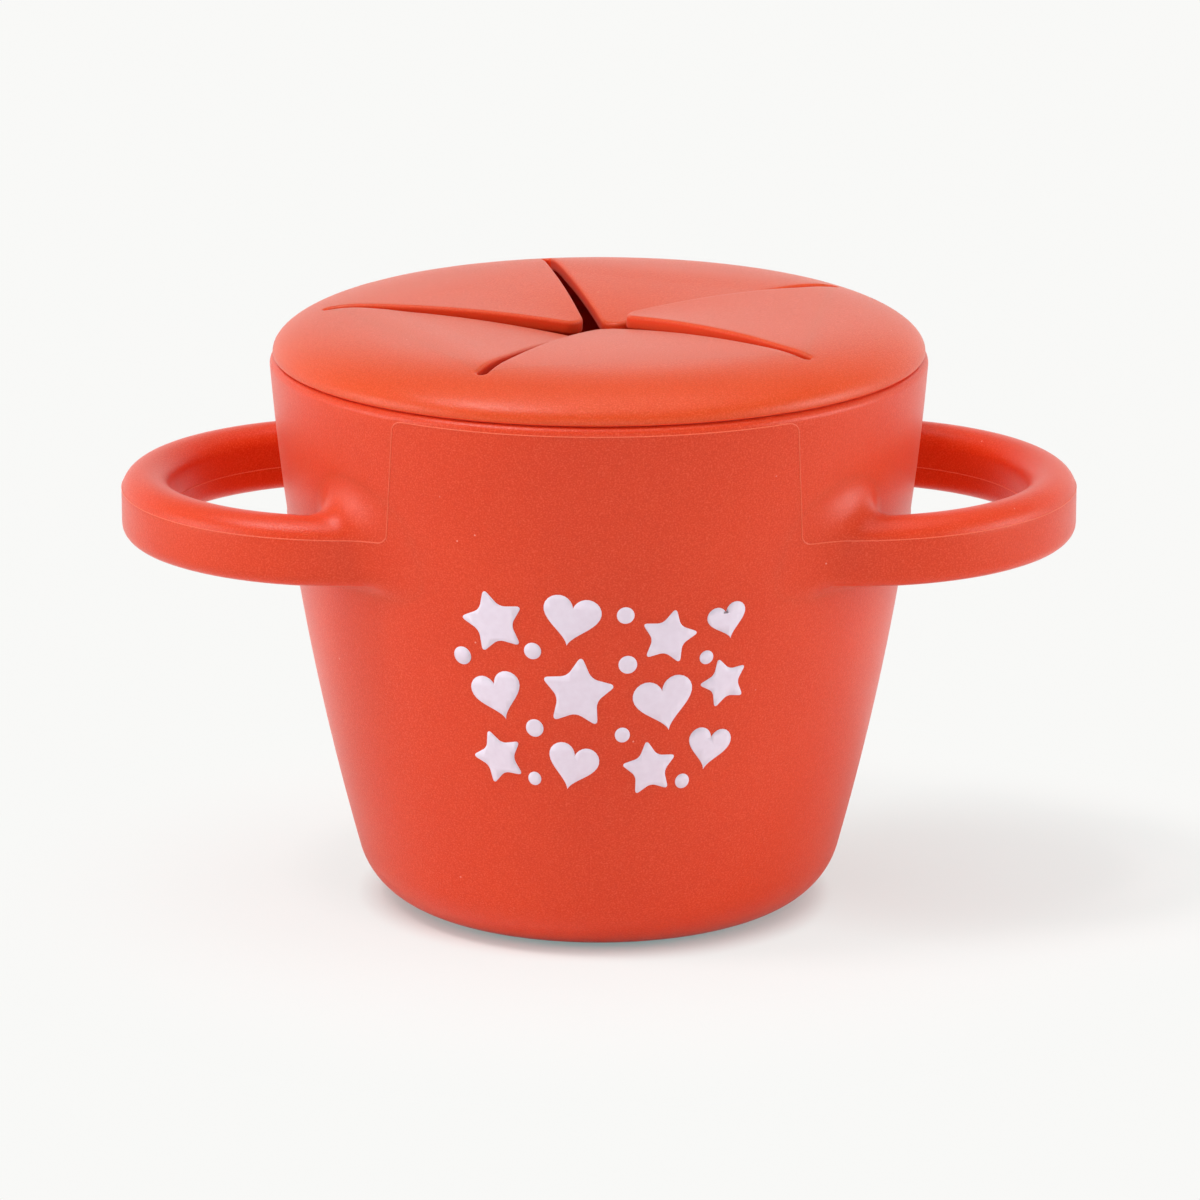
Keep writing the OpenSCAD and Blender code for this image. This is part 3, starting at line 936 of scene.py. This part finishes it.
def inkMaterial(name):
    material = bpy.data.materials.new(name)
    material.use_nodes = True
    tree = material.node_tree
    shader = tree.nodes["Principled BSDF"]
    place = addNode(tree, "ShaderNodeTexCoord", (-1000, 0))
    noise = addNode(tree, "ShaderNodeTexNoise", (-800, 100))
    noise.inputs["Scale"].default_value = inkLook["noiseScale"]
    noise.inputs["Detail"].default_value = 4
    tree.links.new(place.outputs["Object"], noise.inputs["Vector"])
    tone = addNode(tree, "ShaderNodeValToRGB", (-560, 100))
    for element, (position, colour) in zip(tone.color_ramp.elements, inkLook["tones"].items()):
        element.position = position
        element.color = (*colour, 1)
    tree.links.new(noise.outputs["Fac"], tone.inputs["Fac"])
    tree.links.new(tone.outputs["Color"], shader.inputs["Base Color"])
    bump = addNode(tree, "ShaderNodeBump", (-300, -200))
    bump.inputs["Strength"].default_value = inkLook["bump"]
    bump.inputs["Distance"].default_value = inkLook["bumpDepth"]
    tree.links.new(noise.outputs["Fac"], bump.inputs["Height"])
    tree.links.new(bump.outputs["Normal"], shader.inputs["Normal"])
    shader.inputs["Roughness"].default_value = inkLook["roughness"]
    return material


def paint(piece, material):
    piece.data.materials.clear()
    piece.data.materials.append(material)


# the object
group = siliconeGroup()
cupSilicone = siliconeMaterial("cupSilicone", group, siliconeLook)
lidSilicone = siliconeMaterial("lidSilicone", group, lidPaintedSheenLook)
lineSilicone = siliconeMaterial("lineSilicone", group, linePaintedHighlightLook)
printInk = inkMaterial("printInk")

cup = spinProfile("cupMoulding", cupProfile(), cupSizes["turns"])
markInside(cup, cupInside)
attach(cup, "cup")
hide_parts("cup_shell")
paint(cup, cupSilicone)
print("cup made")

handles = []
for side, label in ((-1, "Left"), (1, "Right")):
    handle = growRings(f"handleMoulding{label}", handleRings(side))
    handles.append(handle)
    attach(handle, "cup")
    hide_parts(f"handle_{label.lower()}")
    paint(handle, cupSilicone)
print("handles made")

lid = growRings("lidMoulding", lidRings(), False, False)
markInside(lid, lidInside)
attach(lid, "lid")
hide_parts("lid_ring")
paint(lid, lidSilicone)
print("lid made")

for i in range(flapSizes["count"]):
    flap = makeFlap(i)
    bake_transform(flap)
    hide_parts(f"flap_{i + 1}")
    paint(flap, lidSilicone)
print("flaps made")

line = makeLine("mouldLine", [cup] + handles)
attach(line, "cup")
paint(line, lineSilicone)
print("mould line made")

ink = makePrint()
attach(ink, "cup")
paint(ink, printInk)
print("print made")


# the studio
studio = {
    "distance": 1.0,
    "pitchToBase": 17.384,  # how far the camera looks down on the foot, and its own tilt
    "pitch": 15.035,
    "sideStep": 0.00014,
    "focal": 210.5,
    "floorSize": 12,
    "white": (0.945, 0.945, 0.93),
    "sky": (0.97, 0.98, 1.0),
    "ambient": 0.30,
    "floorShade": (0.80, 0.68, 0.665),  # in full light the shade and the glow add up to the white
    "floorGlow": (0.145, 0.265, 0.265),
    "floorBounce": (0.86, 0.86, 0.85),
    "ceiling": 0.3,  # how bright the studio is overhead, as the gloss shows it
    "ceilingRise": (0.25, 0.8),
    # where the floor's shadow shows: (middle, from, to, amount)
    "shadowPlaces": [
        ((0, 0, 0), 0.027, 0.039, 1.0),
        ((0, 0, 0), 0.045, 0.095, 0.30),
        ((0.052, 0.008, 0), 0.015, 0.060, 0.52),
    ],
}
lights = {
    "keyLight": {"share": 0.34, "angle": 14, "heading": -69, "height": 62},
    "topLight": {"share": 0.32, "angle": 60, "heading": 0, "height": 86},
    "leftFill": {"share": 0.37, "angle": 40, "heading": -78, "height": 9},
    "rightFill": {"share": 0.48, "angle": 40, "heading": 84, "height": 8},
    "frontFill": {"share": 0.09, "angle": 30, "heading": 0, "height": 4},
}


def addCamera():
    toBase = radians(studio["pitchToBase"])
    place = (studio["sideStep"], -studio["distance"] * cos(toBase), studio["distance"] * sin(toBase))
    deselectAll()
    bpy.ops.object.camera_add(location=place, rotation=(radians(90 - studio["pitch"]), 0, 0))
    camera = bpy.context.object
    camera.name = "studioCamera"
    camera.data.sensor_width = 36
    camera.data.lens = studio["focal"]
    camera.data.clip_start = 0.01
    camera.data.clip_end = 100
    bpy.context.scene.camera = camera


def addSun(name, light):  # heading is from the front, positive to the right; height is above the floor
    heading, height = radians(light["heading"]), radians(light["height"])
    deselectAll()
    bpy.ops.object.light_add(type="SUN", location=(0, 0, 2))
    lamp = bpy.context.object
    lamp.name = name
    lamp.data.energy = light["share"] * pi
    lamp.data.angle = radians(light["angle"])
    source = Vector((sin(heading) * cos(height), -cos(heading) * cos(height), sin(height)))
    lamp.rotation_euler = source.to_track_quat("Z", "Y").to_euler()


def addFloor():
    deselectAll()
    bpy.ops.mesh.primitive_plane_add(size=studio["floorSize"], location=(0, 0, 0))
    floor = nameLast("studioFloor")
    material = bpy.data.materials.new("studioFloor")
    material.use_nodes = True
    tree = material.node_tree
    tree.nodes.remove(tree.nodes["Principled BSDF"])
    output = tree.nodes["Material Output"]
    rays = addNode(tree, "ShaderNodeLightPath", (-600, 400))
    lit = addNode(tree, "ShaderNodeBsdfDiffuse", (-600, 0))
    lit.inputs["Color"].default_value = (*studio["floorShade"], 1)
    glow = addNode(tree, "ShaderNodeEmission", (-600, -160))
    glow.inputs["Color"].default_value = (*studio["floorGlow"], 1)
    shaded = addNode(tree, "ShaderNodeAddShader", (-400, -60))
    tree.links.new(lit.outputs["BSDF"], shaded.inputs[0])
    tree.links.new(glow.outputs["Emission"], shaded.inputs[1])
    white = addNode(tree, "ShaderNodeEmission", (-400, 60))
    white.inputs["Color"].default_value = (*studio["white"], 1)
    place = addNode(tree, "ShaderNodeTexCoord", (-1200, -400))
    amount = None
    for i, (middle, near, far, share) in enumerate(studio["shadowPlaces"]):
        away = addNode(tree, "ShaderNodeVectorMath", (-1000, -400 - 260 * i), operation="DISTANCE")
        away.inputs[1].default_value = middle
        tree.links.new(place.outputs["Object"], away.inputs[0])
        fade = addNode(tree, "ShaderNodeMapRange", (-820, -400 - 260 * i), interpolation_type="SMOOTHSTEP")
        fade.inputs["From Min"].default_value = near
        fade.inputs["From Max"].default_value = far
        fade.inputs["To Min"].default_value = share
        fade.inputs["To Max"].default_value = 0
        tree.links.new(away.outputs["Value"], fade.inputs["Value"])
        if amount:
            both = addNode(tree, "ShaderNodeMath", (-600, -400 - 260 * i), operation="MAXIMUM")
            tree.links.new(amount, both.inputs[0])
            tree.links.new(fade.outputs["Result"], both.inputs[1])
            amount = both.outputs[0]
        else:
            amount = fade.outputs["Result"]
    shown = addNode(tree, "ShaderNodeMixShader", (-200, -60))  # the shadow fades into plain white
    tree.links.new(amount, shown.inputs["Fac"])
    tree.links.new(white.outputs["Emission"], shown.inputs[1])
    tree.links.new(shaded.outputs["Shader"], shown.inputs[2])
    plain = addNode(tree, "ShaderNodeBsdfDiffuse", (-400, 200))
    plain.inputs["Color"].default_value = (*studio["floorBounce"], 1)
    mix = addNode(tree, "ShaderNodeMixShader", (0, 100))
    tree.links.new(rays.outputs["Is Camera Ray"], mix.inputs["Fac"])
    tree.links.new(plain.outputs["BSDF"], mix.inputs[1])
    tree.links.new(shown.outputs["Shader"], mix.inputs[2])
    tree.links.new(mix.outputs["Shader"], output.inputs["Surface"])
    paint(floor, material)


def addWorld():
    world = bpy.data.worlds.new("studioWorld")
    bpy.context.scene.world = world
    world.use_nodes = True
    tree = world.node_tree
    light = tree.nodes["Background"]
    light.inputs["Color"].default_value = (*studio["sky"], 1)
    light.inputs["Strength"].default_value = studio["ambient"]
    seen = addNode(tree, "ShaderNodeBackground", (0, -200))
    seen.inputs["Color"].default_value = (*studio["white"], 1)
    seen.inputs["Strength"].default_value = 1
    # the gloss shows white walls that go grey overhead
    direction = addNode(tree, "ShaderNodeTexCoord", (-800, -400))
    upwards = addNode(tree, "ShaderNodeSeparateXYZ", (-600, -400))
    tree.links.new(direction.outputs["Generated"], upwards.inputs[0])
    grey = addNode(tree, "ShaderNodeMapRange", (-400, -400), interpolation_type="SMOOTHSTEP")
    grey.inputs["From Min"].default_value = studio["ceilingRise"][0]
    grey.inputs["From Max"].default_value = studio["ceilingRise"][1]
    grey.inputs["To Min"].default_value = 1
    grey.inputs["To Max"].default_value = studio["ceiling"]
    tree.links.new(upwards.outputs["Z"], grey.inputs["Value"])
    mirrored = addNode(tree, "ShaderNodeBackground", (0, -400))
    mirrored.inputs["Color"].default_value = (*studio["white"], 1)
    tree.links.new(grey.outputs["Result"], mirrored.inputs["Strength"])
    rays = addNode(tree, "ShaderNodeLightPath", (-400, 300))
    gloss = addNode(tree, "ShaderNodeMath", (-200, 300), operation="MAXIMUM")
    tree.links.new(rays.outputs["Is Glossy Ray"], gloss.inputs[0])
    tree.links.new(rays.outputs["Is Transmission Ray"], gloss.inputs[1])
    glossMix = addNode(tree, "ShaderNodeMixShader", (200, 0))
    tree.links.new(gloss.outputs[0], glossMix.inputs["Fac"])
    tree.links.new(light.outputs["Background"], glossMix.inputs[1])
    tree.links.new(mirrored.outputs["Background"], glossMix.inputs[2])
    mix = addNode(tree, "ShaderNodeMixShader", (400, 0))
    tree.links.new(rays.outputs["Is Camera Ray"], mix.inputs["Fac"])
    tree.links.new(glossMix.outputs["Shader"], mix.inputs[1])
    tree.links.new(seen.outputs["Background"], mix.inputs[2])
    tree.links.new(mix.outputs["Shader"], tree.nodes["World Output"].inputs["Surface"])


addCamera()
for lightName, light in lights.items():
    addSun(lightName, light)
addFloor()
addWorld()
bpy.context.scene.view_settings.view_transform = "Standard"
print("studio set")
